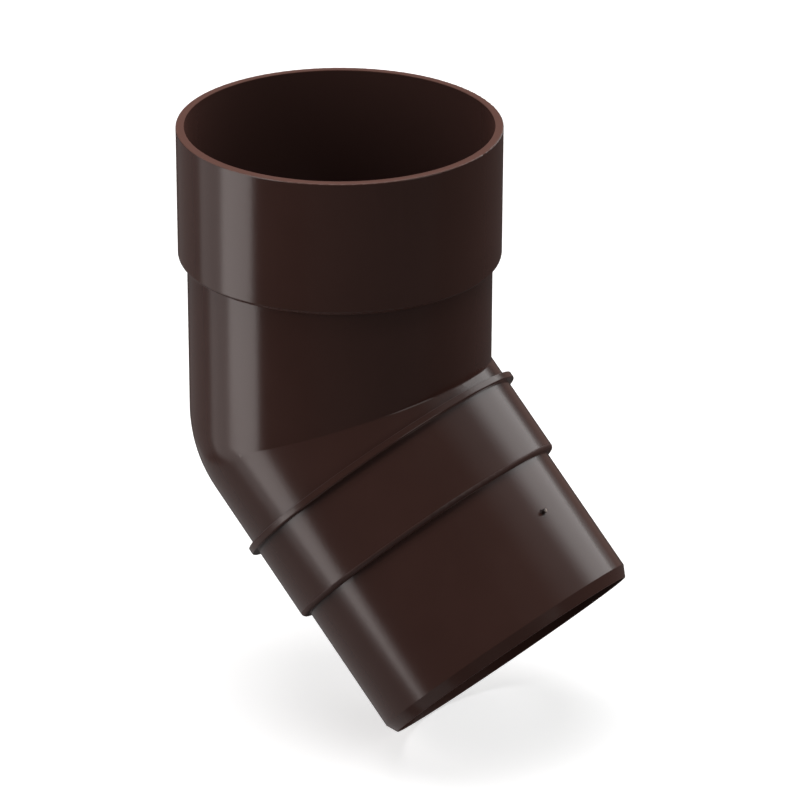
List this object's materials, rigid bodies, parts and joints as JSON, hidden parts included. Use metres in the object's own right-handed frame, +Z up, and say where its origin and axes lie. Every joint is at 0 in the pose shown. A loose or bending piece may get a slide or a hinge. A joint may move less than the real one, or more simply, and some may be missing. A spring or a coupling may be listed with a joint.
{
  "type": "downspout elbow",
  "caption": "Moulded round downspout elbow: a socket on top, a bend mitred inside and round outside, and a ringed slanted leg that ends in a chamfered spigot.",
  "frame": {"origin": "middle of the seat in the socket, on which the end of the upper pipe stands", "axes": "+Z up the socket's axis, out of its mouth; the slanted leg leans towards +X; XZ is the plane of symmetry"},
  "size_m": [0.133, 0.09, 0.1719],
  "materials": {
    "moulded_pvc": "satin"
  },
  "bodies": {
    "root": {"elbow_body": "moulded_pvc"}
  },
  "joints": []
}
